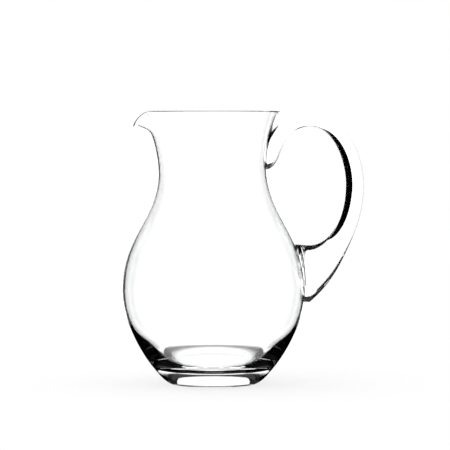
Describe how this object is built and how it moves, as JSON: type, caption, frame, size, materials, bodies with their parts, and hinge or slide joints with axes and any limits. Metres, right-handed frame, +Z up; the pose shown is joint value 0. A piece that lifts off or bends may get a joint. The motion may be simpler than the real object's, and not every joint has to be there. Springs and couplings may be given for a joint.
{
  "type": "beer pitcher",
  "caption": "Clear blown glass pitcher with a round belly, waisted neck, pulled pouring lip, heavy base and an applied looped glass handle, for serving beer and other drinks.",
  "frame": {"origin": "on the axis of the turned body, in the plane of the foot that it stands on", "axes": "+Z up along the body's axis, +X towards the handle, so the pouring lip is at -X and the picture is taken along +Y"},
  "size_m": [0.204, 0.155, 0.23],
  "materials": {
    "clear_glass": "fire-polished clear"
  },
  "bodies": {
    "root": {"glass_body": "clear_glass", "handle": "clear_glass"}
  },
  "joints": []
}
